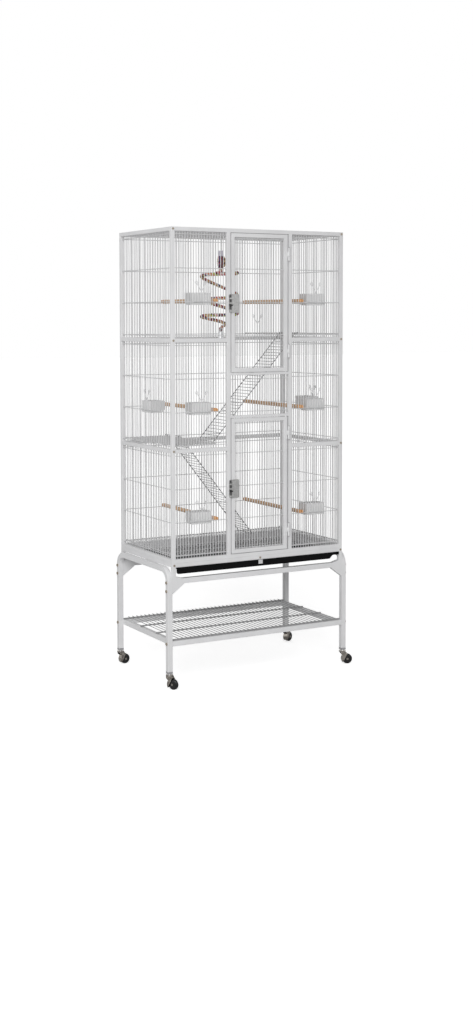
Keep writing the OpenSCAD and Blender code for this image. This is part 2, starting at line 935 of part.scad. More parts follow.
module axle(c) {
    out = wheel_w / 2 + seat;
    color([0.6, 0.6, 0.62])
        at_leg(c)
            union() {
                round_y(trail, [-out - 1, out + 1], axle_z, axle_r);
                for (y = [-out - 1.5, out])
                    round_y(trail, [y, y + 1.5], axle_z, axle_r + 1.5);
            }
}

module axle_fl() {
    axle(caster_fl);
}

module axle_rl() {
    axle(caster_rl);
}

module axle_fr() {
    axle(caster_fr);
}

module axle_rr() {
    axle(caster_rr);
}

// wheel in two halves, each with a domed outer face
module wheel(c) {
    half = wheel_w / 2;
    rim = wheel_d / 2;
    near = web_t / 2 + seat;
    color([0.06, 0.06, 0.065])
        at_leg(c)
            translate([trail, 0, axle_z])
                for (turn = [90, -90])
                    rotate([turn, 0, 0])
                        rotate_extrude($fn = 64)
                            polygon([[axle_r + 0.06, near], [rim - 1.5, near], [rim, near + 1.5],
                                [rim, near + 2.7], [rim - 0.6, half - 2.5], [rim - 2.4, half - 1.4],
                                [rim - 5.5, half - 0.7], [rim - 10, half - 0.2],
                                [axle_r + 0.06, half]]);
}

module wheel_fl() {
    wheel(caster_fl);
}

module wheel_rl() {
    wheel(caster_rl);
}

module wheel_fr() {
    wheel(caster_fr);
}

module wheel_rr() {
    wheel(caster_rr);
}

// dowels whose ends are slotted round an upright wire and cut out below to sit on a level wire
module perches() {
    reach = hd - level_in + 2.6;
    slot_y = hd - inner_in;
    seat_y = hd - level_in - wire_d / 2 - 0.4;
    color([0.79, 0.56, 0.34])
        for (i = [0:2])
            for (x = [-perch_x, perch_x])
                difference() {
                    round_y(x, [-reach, reach], level(i, 1) + perch_rise, perch_d / 2);
                    for (t = [-1, 1])
                        block([x - wire_d / 2 - 0.4, x + wire_d / 2 + 0.4],
                            t > 0 ? [slot_y - 1, reach + 1] : [-reach - 1, -slot_y + 1],
                            [level(i, 1) - perch_d, level(i, 1) + perch_d + 4]);
                    for (t = [-1, 1])
                        block([x - perch_d, x + perch_d],
                            t > 0 ? [seat_y, reach + 1] : [-reach - 1, -seat_y],
                            [level(i, 1) - perch_d, level(i, 1) + wire_d / 2 + seat]);
                }
}

// open cup drawn with its wall on the plane y = 0, reaching towards +Y, its level wire at z = 0
module cup(lug) {
    hang = upright_in - level_in + wire_d / 2 + seat;
    union() {
        difference() {
            translate([-cup_w / 2, 0, -cup_drop])
                rotate([90, 0, 90])
                    linear_extrude(height = cup_w)
                        polygon([[0, 0], [cup_d - bevel, 0], [cup_d - bevel * 0.35, bevel * 0.35],
                            [cup_d, bevel], [cup_d, cup_h], [0, cup_h]]);
            translate([-cup_w / 2 + cup_wall, cup_wall, -cup_drop + cup_wall])
                rotate([90, 0, 90])
                    linear_extrude(height = cup_w - 2 * cup_wall)
                        polygon([[0, 0], [cup_d - bevel - cup_wall, 0],
                            [cup_d - bevel * 0.35 - cup_wall * 1.5, bevel * 0.35],
                            [cup_d - 2 * cup_wall, bevel], [cup_d - 2 * cup_wall, cup_h],
                            [0, cup_h]]);
        }
        for (x = [-lug, lug])
            block([x - 4, x + 4], [-hang - 1, 0], [wire_d / 2 + seat, wire_d / 2 + 4]);
    }
}

// places of the cups: x, y, turn, height of their level wire, distance of their lugs from the middle
cup_places = concat(
    [for (i = [0:2]) for (x = [left_cup_x, right_cup_x])
        [x, -hd + inner_in + seat, 0, level(i, 1), front_lug]],
    [for (t = [0, 1]) let (s = 2 * t - 1)
        [s * (hw - inner_in - seat), side_cup_ys[t], s * 90, level(1, 1), side_lug]]);

module cups() {
    color([0.8, 0.8, 0.8, 0.8])
        for (p = cup_places)
            translate([p[0], p[1], p[3]])
                rotate([0, 0, p[2]])
                    cup(p[4]);
}

// forked flat wire with two curled tips that stands on a cup's rim, or against the rear panel
module cup_hook() {
    length = sqrt(hook_span * hook_span + hook_rise * hook_rise);
    translate([0, hook_t / 2, 0])
        rotate([90, 0, 0])
            linear_extrude(height = hook_t)
                union() {
                    translate([-hook_t / 2, 0])
                        square([hook_t, 6]);
                    for (s = [-1, 1]) {
                        translate([0, 4])
                            rotate([0, 0, -s * atan2(hook_span, hook_rise)])
                                translate([-hook_t / 2, 0])
                                    square([hook_t, length - hook_curl + hook_t / 2]);
                        translate([s * hook_span, 4 + hook_rise])
                            difference() {
                                circle(r = hook_curl, $fn = 24);
                                circle(r = hook_curl - hook_t, $fn = 24);
                            }
                    }
                }
}

module cup_hooks() {
    color([0.7, 0.7, 0.7]) {
        for (p = cup_places)
            translate([p[0], p[1], p[3] - cup_drop + cup_h])
                rotate([0, 0, p[2]])
                    translate([0, 1.25, 0])
                        cup_hook();
        translate([spare_x, hd - inner_in - 1 - seat, rail_z(2) + spare_rise])
            cup_hook();
    }
}

// centre line of the rope: straight down, three loops that hang tilted, straight down again
function turn_r(f) =
    f < 0 ? bend + (loop_r - bend) * (f + 180) / 180
    : f < 900 ? loop_r
    : loop_r - (loop_r - bend) * (f - 900) / 180;
function turn_z(f) =
    f < 0 ? rope_top - rope_d - bend
    : f < 900 ? loop_z - loop_drop * f / 360 - loop_tilt * cos(f) - sag(f)
    : loop_z - loop_drop * 2.5 + loop_tilt
        - (loop_z - loop_drop * 2.5 + loop_tilt - rope_end - rope_d - bend) * (f - 900) / 180;
// extra drop of the middle loop
function sag(f) = f < 180 || f > 720 ? 0 : loop_sag * (1 - cos(360 * (f - 180) / 540)) / 2;
function turn_off(f) = -loop_off * (turn_r(f) - bend) / (loop_r - bend);
function turn_p(f) = [
    turn_off(f) * cos(loop_turn) + turn_r(f) * cos(loop_turn - f),
    turn_off(f) * sin(loop_turn) + turn_r(f) * sin(loop_turn - f), turn_z(f)];
ring_turn = 15;
rope_line = concat(
    [[0, 0, rope_top], [0, 0, rope_top - rope_d]],
    [for (f = [-180:ring_turn:1080]) turn_p(f)],
    [[0, 0, rope_end + rope_d], [0, 0, rope_end]]);
rope_n = len(rope_line);
function unit(v) = v / norm(v);
function tangent(i) =
    i <= 1 ? [0, 0, -1]
    : i >= rope_n - 2 ? [0, 0, -1]
    : unit(rope_line[i + 1] - rope_line[i - 1]);
function sides(i, u) =
    i == rope_n ? []
    : let (t = tangent(i), v = unit(u - (u * t) * t)) concat([v], sides(i + 1, v));
rope_sides_at = sides(0, [1, 0, 0]);
rope_points = [for (i = [0:rope_n - 1])
    let (u = rope_sides_at[i], w = cross(tangent(i), u))
        for (k = [0:rope_sides - 1])
            rope_line[i] + rope_d / 2 * (cos(360 * k / rope_sides) * u + sin(360 * k / rope_sides) * w)];
rope_faces = concat(
    [for (i = [0:rope_n - 2]) for (k = [0:rope_sides - 1])
        [i * rope_sides + k, (i + 1) * rope_sides + k, i * rope_sides + (k + 1) % rope_sides]],
    [for (i = [0:rope_n - 2]) for (k = [0:rope_sides - 1])
        [(i + 1) * rope_sides + k, (i + 1) * rope_sides + (k + 1) % rope_sides,
            i * rope_sides + (k + 1) % rope_sides]],
    [for (k = [1:rope_sides - 2]) [0, k, k + 1]],
    [for (k = [1:rope_sides - 2]) [(rope_n - 1) * rope_sides, (rope_n - 1) * rope_sides + k + 1,
        (rope_n - 1) * rope_sides + k]]);
// least gap of the rope to itself, between points over a third of a loop apart
rope_gap = min([for (i = [0:rope_n - 1]) for (j = [i + 8:1:rope_n - 1])
    norm(rope_line[i] - rope_line[j])]) - rope_d;
echo(rope_least_gap_mm = rope_gap, rope_length_mm = rope_length(0));
function rope_length(i) =
    i == rope_n - 1 ? 0 : norm(rope_line[i + 1] - rope_line[i]) + rope_length(i + 1);

module toy_rope() {
    color([0.55, 0.25, 0.3])
        translate([toy_x, toy_y, 0])
            polyhedron(points = rope_points, faces = rope_faces, convexity = 6);
}

// hook over a roof wire, with its shank and eye
module toy_hook() {
    z = roof_z;
    r = wire_d / 2 + seat + hook_r;
    color([0.7, 0.7, 0.7])
        translate([toy_x, toy_y, 0])
            union() {
                translate([0, 0, z])
                    rotate([90, 0, 0])
                        rotate_extrude(angle = 180, $fn = 32)
                            translate([r, 0])
                                circle(r = hook_r, $fn = 24);
                round_z(r, 0, [z - hook_drop, z], hook_r);
                round_z(-r, 0, [z - 9, z], hook_r);
            }
}

// plastic cap over a short bundle
module toy_bundle() {
    color([0.72, 0.7, 0.78])
        translate([toy_x, toy_y, 0])
            union() {
                round_z(0, 0, [rope_top + bundle_h, roof_z - hook_drop], cap_r);
                round_z(0, 0, [rope_top, rope_top + bundle_h + 1], bundle_r);
            }
}

module toy_bell() {
    color([0.7, 0.7, 0.7])
        translate([toy_x, toy_y, 0])
            difference() {
                union() {
                    round_z(0, 0, [rope_end - bell_neck, rope_end], 7);
                    translate([0, 0, rope_end - bell_neck - bell_h + 1])
                        cylinder(h = bell_h, r1 = bell_r, r2 = bell_top_r, $fn = 48);
                }
                translate([0, 0, rope_end - bell_neck - bell_h])
                    cylinder(h = bell_h - 2, r1 = bell_r - bell_t, r2 = bell_top_r - bell_t,
                        $fn = 48);
            }
}

left_frame();
right_frame();
front_frame();
rear_frame();
base_rails();
front_left_wires();
front_right_wires();
front_middle_wires();
rear_wires();
left_wires();
right_wires();
roof_wires();
upper_door_frame();
upper_door_wires();
lower_door_frame();
lower_door_wires();
hinge_leaves();
hinge_pins();
upper_door_leaves();
lower_door_leaves();
latch_keepers();
upper_latch_plate();
lower_latch_plate();
upper_latch_pin();
lower_latch_pin();
frame_screws();
tray();
tray_tab();
tray_runners();
floor_grate();
platforms();
ladders();
left_arch();
right_arch();
stand_rails();
stand_bolts();
shelf_frame();
shelf_wires();
leg_inserts();
caster_stems();
fork_fl();
fork_rl();
fork_fr();
fork_rr();
axle_fl();
axle_rl();
axle_fr();
axle_rr();
wheel_fl();
wheel_rl();
wheel_fr();
wheel_rr();
perches();
cups();
cup_hooks();
toy_hook();
toy_bundle();
toy_rope();
toy_bell();
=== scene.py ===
import math
import bmesh
import bpy
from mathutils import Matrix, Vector


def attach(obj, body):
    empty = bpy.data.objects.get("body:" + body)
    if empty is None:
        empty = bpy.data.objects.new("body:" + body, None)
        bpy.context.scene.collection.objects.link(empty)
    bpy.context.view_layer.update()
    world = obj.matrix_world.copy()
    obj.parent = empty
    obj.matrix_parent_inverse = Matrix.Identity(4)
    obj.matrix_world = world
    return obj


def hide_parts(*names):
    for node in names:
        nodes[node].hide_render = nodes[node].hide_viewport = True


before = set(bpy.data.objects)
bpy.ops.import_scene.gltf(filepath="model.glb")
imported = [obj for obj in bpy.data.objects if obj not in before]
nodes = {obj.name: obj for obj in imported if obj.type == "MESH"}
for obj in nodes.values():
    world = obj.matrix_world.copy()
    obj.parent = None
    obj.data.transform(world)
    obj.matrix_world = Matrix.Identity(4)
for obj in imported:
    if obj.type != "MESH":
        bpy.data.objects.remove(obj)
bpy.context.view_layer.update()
scene = bpy.context.scene

# the camera at the photograph's place, solved from the cage's straight edges
CAMERA_PLACE = (-2.7295, -4.8746, 1.3997)
CAMERA_DOWN, CAMERA_ROLL, CAMERA_TURN = 0.06263, 0.00109, -0.51439
FILM_WIDTH, FOCAL_LENGTH, FRAME_SHIFT = 36.0, 49.02, -0.1038
FAR_CLIP = 100


def add_object(name, data):
    obj = bpy.data.objects.new(name, data)
    scene.collection.objects.link(obj)
    return obj


def make_camera():
    data = bpy.data.cameras.new("camera")
    data.sensor_width = FILM_WIDTH
    data.lens = FOCAL_LENGTH
    data.shift_y = FRAME_SHIFT
    data.clip_end = FAR_CLIP
    cam = add_object("camera", data)
    cam.location = CAMERA_PLACE
    cam.rotation_euler = (math.pi / 2 - CAMERA_DOWN, CAMERA_ROLL, CAMERA_TURN)
    scene.camera = cam


make_camera()


# noise values at which a roughness and a colour reach their two ends
ROUGH_ENDS = (0.3, 0.7)
COLOUR_ENDS = (0.35, 0.65)


def srgb(r, g, b):
    """Colour values from 0 to 255 as linear light."""
    def one(c):
        c = c / 255
        return c / 12.92 if c <= 0.04045 else ((c + 0.055) / 1.055) ** 2.4
    return (one(r), one(g), one(b), 1)


class Mat:
    """A node material with one Principled shader."""

    def __init__(self, name):
        self.mat = bpy.data.materials.new(name)
        self.mat.use_nodes = True
        self.tree = self.mat.node_tree
        self.bsdf = self.tree.nodes["Principled BSDF"]

    def put(self, **values):
        for key, v in values.items():
            self.bsdf.inputs[key.replace("_", " ")].default_value = v

    def node(self, kind, **settings):
        n = self.tree.nodes.new(kind)
        for key, v in settings.items():
            setattr(n, key, v)
        return n

    def link(self, a, b):
        self.tree.links.new(a, b)

    def place(self, scale=(1, 1, 1)):
        """Object coordinates in metres, stretched by scale."""
        coord = self.node("ShaderNodeTexCoord")
        mapping = self.node("ShaderNodeMapping")
        mapping.inputs["Scale"].default_value = scale
        self.link(coord.outputs["Object"], mapping.inputs["Vector"])
        return mapping.outputs["Vector"]

    def noise(self, scale, detail=3, rough=0.5, stretch=(1, 1, 1)):
        n = self.node("ShaderNodeTexNoise")
        n.inputs["Scale"].default_value = scale
        n.inputs["Detail"].default_value = detail
        n.inputs["Roughness"].default_value = rough
        self.link(self.place(stretch), n.inputs["Vector"])
        return n.outputs["Fac"]

    def ramp(self, fac, stops):
        """Colour by value, from (value, colour) stops."""
        r = self.node("ShaderNodeValToRGB")
        e = r.color_ramp.elements
        while len(e) < len(stops):
            e.new(0.5)
        for item, (at, colour) in zip(e, stops):
            item.position = at
            item.color = colour
        self.link(fac, r.inputs["Fac"])
        return r.outputs["Color"]

    def map_range(self, fac, ends, low=0.0, high=1.0):
        """Maps the values between the two ends to low and high."""
        m = self.node("ShaderNodeMapRange")
        m.inputs["From Min"].default_value = ends[0]
        m.inputs["From Max"].default_value = ends[1]
        m.inputs["To Min"].default_value = low
        m.inputs["To Max"].default_value = high
        self.link(fac, m.inputs["Value"])
        return m.outputs["Result"]

    def colour(self, fac, low, high):
        stops = list(zip(COLOUR_ENDS, (low, high)))
        self.link(self.ramp(fac, stops), self.bsdf.inputs["Base Color"])

    def rough(self, fac, low, high):
        self.link(self.map_range(fac, ROUGH_ENDS, low, high), self.bsdf.inputs["Roughness"])

    def bump(self, fac, depth, strength):
        b = self.node("ShaderNodeBump")
        b.inputs["Strength"].default_value = strength
        b.inputs["Distance"].default_value = depth
        self.link(fac, b.inputs["Height"])
        self.link(b.outputs["Normal"], self.bsdf.inputs["Normal"])

    def mix(self, factor, a, b, **settings):
        """Sets the base colour to a mix of two colours."""
        m = self.node("ShaderNodeMix", data_type="RGBA", **settings)
        if hasattr(factor, "links"):
            self.link(factor, m.inputs["Factor"])
        else:
            m.inputs["Factor"].default_value = factor
        self.link(a, m.inputs["A"])
        self.link(b, m.inputs["B"])
        self.link(m.outputs["Result"], self.bsdf.inputs["Base Color"])


def painted(name, grain, tone):
    """Faintly blue white powder coat: grain is the noise scale of its orange peel."""
    m = Mat(name)
    m.put(Metallic=0.0, Coat_Weight=0.12, Coat_Roughness=0.25)
    wide = m.noise(9, 4)
    low, high = [srgb(tone + d, tone + d, tone + d + 1) for d in (-4, 3)]
    m.colour(wide, low, high)
    fine = m.noise(grain, 2)
    m.rough(fine, 0.34, 0.52)
    m.bump(fine, 0.0004, 0.35)
    return m.mat


def metal(name, low, high, scale, rough):
    m = Mat(name)
    m.put(Metallic=1.0)
    f = m.noise(scale, 4, 0.6)
    m.colour(f, srgb(*low), srgb(*high))
    m.rough(f, *rough)
    m.bump(f, 0.0002, 0.25)
    return m.mat


def plastic(name, low, high, scale, rough, **values):
    m = Mat(name)
    m.put(Metallic=0.0, IOR=1.49, **values)
    f = m.noise(scale, 3)
    m.colour(f, srgb(*low), srgb(*high))
    m.rough(m.noise(scale * 0.1, 4), *rough)
    m.bump(f, 0.0002, 0.3)
    return m.mat


frame_paint = painted("frame_paint", 700, 227)
# a darker copy of the frame coat: painted shade on the thin wires, whose real paint is the
# frame's
wire_paint = painted("wire_paint", 900, 213)
# a lighter copy of the coat: painted light that offsets the shade on the small cup hooks
lit_hook_paint = painted("lit_hook_paint", 900, 236)
rack_paint = painted("rack_paint", 900, 205)
# a much darker copy of the coat: painted shade on the shelf wires, which lie under the cage's
# tray
shaded_shelf_paint = painted("shaded_shelf_paint", 900, 160)
ladder_paint = painted("ladder_paint", 900, 150)
zinc = metal("zinc", (178, 178, 177), (200, 200, 199), 130, (0.26, 0.42))
hinge_metal = metal("hinge_metal", (110, 110, 110), (150, 150, 150), 300, (0.3, 0.45))
# the fork metal's dark, tan-tinted low colour, mixed in by noise patches, is a painted
# reflection of dark surroundings
fork_metal = metal("fork_metal", (108, 103, 98), (188, 182, 174), 70, (0.12, 0.3))
chrome = metal("chrome", (205, 206, 208), (222, 223, 225), 60, (0.08, 0.18))
screw_metal = metal("screw_metal", (150, 138, 124), (188, 178, 164), 400, (0.3, 0.5))
black_plastic = plastic("black_plastic", (15, 15, 16), (21, 21, 22), 500, (0.1, 0.2),
                        Specular_IOR_Level=0.05)
wheel_plastic = plastic("wheel_plastic", (9, 9, 10), (15, 15, 16), 300, (0.05, 0.12))
insert_plastic = plastic("insert_plastic", (150, 150, 152), (172, 172, 174), 300, (0.35, 0.5))
pin_plastic = plastic("pin_plastic", (24, 24, 25), (34, 34, 35), 500, (0.25, 0.4))
toy_cap = plastic("toy_cap", (212, 208, 222), (224, 221, 232), 120, (0.3, 0.42))
tab_plastic = plastic("tab_plastic", (196, 196, 197), (212, 212, 213), 200, (0.3, 0.45))


def make_cup_plastic():
    m = Mat("cup_plastic")
    m.put(IOR=1.46, Transmission_Weight=0.12, Subsurface_Weight=0.2,
          Subsurface_Radius=(0.008, 0.008, 0.008))
    f = m.noise(14, 2)
    m.colour(f, srgb(229, 229, 229), srgb(236, 236, 236))
    m.rough(f, 0.34, 0.46)
    m.bump(m.noise(500, 2), 0.0001, 0.15)
    return m.mat


# distance from the middle at which a perch's wood turns to its darker end, in metres
PERCH_TIP = (0.195, 0.212)


def make_perch_wood():
    m = Mat("perch_wood")
    grain = m.noise(60, 6, 0.6, (1, 0.06, 1))
    body = m.ramp(grain, [(0.3, srgb(186, 146, 110)), (0.5, srgb(214, 174, 134)),
                          (0.68, srgb(228, 194, 158))])
    tip = m.ramp(grain, [(0.3, srgb(208, 150, 100)), (0.68, srgb(236, 188, 140))])
    split = m.node("ShaderNodeSeparateXYZ")
    m.link(m.place(), split.inputs["Vector"])
    side = m.node("ShaderNodeMath", operation="ABSOLUTE")
    m.link(split.outputs["Y"], side.inputs[0])
    m.mix(m.map_range(side.outputs[0], PERCH_TIP), body, tip)
    m.rough(grain, 0.5, 0.72)
    m.bump(grain, 0.0006, 0.4)
    return m.mat


def make_yarn():
    """Cotton in the colour painted on each strand, with fine noise darkening it as painted
    shade between its fibres.
    """
    m = Mat("yarn")
    colour = m.node("ShaderNodeVertexColor", layer_name="yarn")
    fibre = m.noise(1400, 3)
    # painted shade between the fibres: the fine noise multiplies the strand colour down
    shade = m.ramp(fibre, list(zip(COLOUR_ENDS, ((0.45, 0.45, 0.45, 1), (1, 1, 1, 1)))))
    m.mix(0.35, colour.outputs["Color"], shade, blend_type="MULTIPLY")
    m.put(Sheen_Weight=0.25, Sheen_Roughness=0.5)
    m.rough(fibre, 0.75, 0.95)
    m.bump(fibre, 0.0008, 0.6)
    return m.mat


cup_plastic = make_cup_plastic()
perch_wood = make_perch_wood()
yarn = make_yarn()

FINISH = {
    frame_paint: ["left_frame", "right_frame", "front_frame", "rear_frame", "base_rails",
                  "upper_door_frame", "lower_door_frame", "left_arch", "right_arch",
                  "stand_rails", "shelf_frame", "tray_runners", "hinge_leaves",
                  "upper_door_leaves", "lower_door_leaves"],
    wire_paint: ["front_left_wires", "front_middle_wires", "front_right_wires", "rear_wires",
                 "left_wires", "right_wires", "roof_wires", "upper_door_wires",
                 "lower_door_wires"],
    lit_hook_paint: ["cup_hooks"],
    rack_paint: ["floor_grate", "platforms"],
    shaded_shelf_paint: ["shelf_wires"],
    ladder_paint: ["ladders"],
    hinge_metal: ["hinge_pins"],
    zinc: ["upper_latch_plate", "lower_latch_plate", "latch_keepers", "toy_hook"],
    fork_metal: ["fork_fl", "fork_rl", "fork_fr", "fork_rr",
                 "axle_fl", "axle_rl", "axle_fr", "axle_rr"],
    chrome: ["caster_stems", "toy_bell"],
    screw_metal: ["frame_screws", "stand_bolts"],
    black_plastic: ["tray"],
    tab_plastic: ["tray_tab"],
    pin_plastic: ["upper_latch_pin", "lower_latch_pin"],
    insert_plastic: ["leg_inserts"],
    wheel_plastic: ["wheel_fl", "wheel_rl", "wheel_fr", "wheel_rr"],
    cup_plastic: ["cups"],
    perch_wood: ["perches"],
    toy_cap: ["toy_bundle"],
}
for material, names in FINISH.items():
    for n in names:
        mesh = nodes[n].data
        if not mesh.materials:
            mesh.materials.append(material)
        for i in range(len(mesh.materials)):
            mesh.materials[i] = material

# softened edges of tubes, runners and hinge leaves
EDGE_WIDTH, EDGE_SEGMENTS, EDGE_ANGLE = 0.0011, 2, math.radians(40)
WELD_DISTANCE = 0.00002
for n in FINISH[frame_paint]:
    weld = nodes[n].modifiers.new("weld", "WELD")
    weld.merge_threshold = WELD_DISTANCE
    bevel = nodes[n].modifiers.new("bevel", "BEVEL")
    bevel.width = EDGE_WIDTH
    bevel.segments = EDGE_SEGMENTS
    bevel.limit_method = "ANGLE"
    bevel.angle_limit = EDGE_ANGLE


# the roof wire that the toy hangs from, and the rope's two loops as heights in metres
TOY = Vector((-0.0459375, 0.0, 0.0))
UPPER_LOOP, LOWER_LOOP = (1.600, 1.588), (1.360, 1.348)

# the coil in millimetres and degrees: its radius, the radius where it starts and ends, its
# offset beside the wire, and its heading; each end runs in or out over half a turn
COIL_RADIUS, COIL_NEAR, COIL_ASIDE = 71.0, 9.0, 5.5
COIL_HEADING = math.radians(-29.5)
COIL_TURN, COIL_RUN, COIL_STEP = 900, 180, 15
COIL_LEAD_Z, COIL_Z, COIL_DROP, COIL_WAVE = 1579.0, 1592.6, 80, 12.6
COIL_SAG, SAG_FROM, SAG_TO = 7, 180, 720
TAIL_Z = (1405.2, 1369.0)

# the rope in metres; its strands are drawn thicker than the source's cord, because the photo
# shows a rope nearer 17 mm across
ROPE_D = 0.012
SWELL = 1.2
STRANDS = 3
ROPE_PER_STRAND = 2.155
STRAND_LAY = 0.034
ROPE_STEP = 0.0028
YARN_PATCH, PATCH_SHIFT = 0.0115, 0.37
STRAND_SIDES = 8

YARNS = [srgb(*c) for c in [(176, 34, 46), (240, 178, 184), (74, 30, 52), (88, 80, 128),
                            (196, 202, 92), (222, 184, 132), (240, 234, 226), (140, 24, 46),
                            (224, 112, 110), (96, 36, 44), (232, 208, 150), (222, 150, 120)]]


def rope_route():
    """Points of the rope's middle from its upper loop to its lower one."""
    points = [(0, 0, z) for z in UPPER_LOOP]
    for f in range(-COIL_RUN, COIL_TURN + COIL_RUN + 1, COIL_STEP):
        if f < 0:
            r = COIL_NEAR + (COIL_RADIUS - COIL_NEAR) * (f + COIL_RUN) / COIL_RUN
            z = COIL_LEAD_Z
        elif f < COIL_TURN:
            r = COIL_RADIUS
            z = COIL_Z - COIL_DROP * f / 360 - COIL_WAVE * math.cos(math.radians(f))
            if SAG_FROM <= f <= SAG_TO:
                part = 2 * math.pi * (f - SAG_FROM) / (SAG_TO - SAG_FROM)
                z -= COIL_SAG * (1 - math.cos(part))
        else:
            r = COIL_RADIUS - (COIL_RADIUS - COIL_NEAR) * (f - COIL_TURN) / COIL_RUN
            z = TAIL_Z[0] + (TAIL_Z[1] - TAIL_Z[0]) * (f - COIL_TURN) / COIL_RUN
        a = COIL_HEADING - math.radians(f)
        off = -COIL_ASIDE * (r - COIL_NEAR) / (COIL_RADIUS - COIL_NEAR)
        points.append(((off * math.cos(COIL_HEADING) + r * math.cos(a)) / 1000,
                       (off * math.sin(COIL_HEADING) + r * math.sin(a)) / 1000, z / 1000))
    points += [(0, 0, z) for z in LOWER_LOOP]
    return [Vector(p) + TOY for p in points]


def smooth_path(points, step):
    """Points about step apart on a Catmull-Rom curve through the given ones."""
    out = []
    ends = [points[0] * 2 - points[1]] + points + [points[-1] * 2 - points[-2]]
    for i in range(1, len(ends) - 2):
        a, b, c, d = ends[i - 1:i + 3]
        n = max(1, round((c - b).length / step))
        for k in range(n):
            t = k / n
            out.append(0.5 * (2 * b + (c - a) * t + (2 * a - 5 * b + 4 * c - d) * t * t
                              + (3 * b - a - 3 * c + d) * t ** 3))
    out.append(points[-1].copy())
    return out


def frames(path):
    """Tangent and two side directions at each point, with no twist of their own."""
    made = []
    side = None
    for i, p in enumerate(path):
        t = (path[min(i + 1, len(path) - 1)] - path[max(i - 1, 0)]).normalized()
        if side is None:
            side = t.orthogonal().normalized()
        side = (side - t * side.dot(t)).normalized()
        made.append((p, t, side, t.cross(side)))
    return made


def lengths(path):
    """Length along the path at each of its points."""
    out = [0.0]
    for a, b in zip(path, path[1:]):
        out.append(out[-1] + (b - a).length)
    return out


def link_mesh(name, bm, material):
    """Makes a smooth-shaded object of the mesh that was built."""
    mesh = bpy.data.meshes.new(name)
    bm.normal_update()
    bm.to_mesh(mesh)
    bm.free()
    for poly in mesh.polygons:
        poly.use_smooth = True
    mesh.materials.append(material)
    return add_object(name, mesh)


def sweep(bm, rings):
    """Skins rings of points, each a list of the same length, and closes both ends."""
    rows = [[bm.verts.new(p) for p in ring] for ring in rings]
    n = len(rows[0])
    for a, b in zip(rows, rows[1:]):
        for i in range(n):
            j = (i + 1) % n
            bm.faces.new((a[i], a[j], b[j], b[i]))
    bm.faces.new(rows[0][::-1])
    bm.faces.new(rows[-1])


def lathe(bm, profile, sides):
    """Turns (radius, height) pairs, from low to high, round the toy's middle."""
    sweep(bm, [[TOY + Vector((r * math.cos(2 * math.pi * k / sides),
                              r * math.sin(2 * math.pi * k / sides), z))
                for k in range(sides)] for r, z in profile])


def strand(bm, path, turn, offset, radius, lay):
    """Sweeps one strand that winds round the path, and returns the length at each ring."""
    along = lengths(path)
    rings = []
    for (p, t, u, v), s in zip(frames(path), along):
        a = turn + 2 * math.pi * s / lay
        out = u * math.cos(a) + v * math.sin(a)
        across = u * -math.sin(a) + v * math.cos(a)
        lean = 2 * math.pi * offset / lay
        axis = (t + across * lean).normalized()
        wide = axis.cross(out).normalized()
        c = p + out * offset
        rings.append([c + (out * math.cos(2 * math.pi * k / STRAND_SIDES)
                           + wide * math.sin(2 * math.pi * k / STRAND_SIDES)) * radius
                      for k in range(STRAND_SIDES)])
    sweep(bm, rings)
    return along


def paint_yarn(mesh, colours):
    layer = mesh.color_attributes.new("yarn", "FLOAT_COLOR", "POINT")
    for item, c in zip(layer.data, colours):
        item.color = c


def make_rope():
    route = rope_route()
    path = smooth_path(route, ROPE_STEP)
    thick = ROPE_D * SWELL / ROPE_PER_STRAND
    offset = (ROPE_D * SWELL - thick) / 2
    bm = bmesh.new()
    colours = []
    for k in range(STRANDS):
        turn = 2 * math.pi * k / STRANDS
        for s in strand(bm, path, turn, offset, thick / 2, STRAND_LAY):
            patch = int(s / YARN_PATCH + k * PATCH_SHIFT)
            shade = (patch * 7 + k * 5 + patch * patch // 3) % len(YARNS)
            colours += [YARNS[shade]] * STRAND_SIDES
    obj = link_mesh("spiral_rope", bm, yarn)
    paint_yarn(obj.data, colours)
    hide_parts("toy_rope")
    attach(obj, "toy")


# the bundle above the rope, in metres: a cap, twisted yarns that bulge below it, and the ring
# that ties their tops
CAP_SIDES, RING_SIDES = 40, 32
CAP = [(0.0070, 1.6412), (0.0094, 1.6420), (0.0099, 1.6440), (0.0099, 1.6650),
       (0.0094, 1.6668), (0.0080, 1.6678), (0.0030, 1.6680)]
RING = [(0.004, 1.6345), (0.0105, 1.6350), (0.0125, 1.6385), (0.011, 1.6425), (0.004, 1.6435)]
RING_YARN = 9
BUNDLE_YARNS = [2, 0, 9, 8, 4, 1, 3, 7, 2, 5, 10]
BUNDLE_TOP, BUNDLE_HEIGHT, BUNDLE_TURN = 1.6445, 0.0435, 0.3
BUNDLE_CORE, BUNDLE_BULGE = 0.0045, 0.0108
BUNDLE_LEAN = Vector((0.0035, -0.002, 0))
BUNDLE_POINTS, BUNDLE_STEP = 8, 0.002
TWINE_OFFSET, TWINE_RADIUS, TWINE_LAY = 0.0021, 0.0023, 0.016
# past this length from its top a yarn's second strand takes another colour
TWINE_CHANGE = 0.02


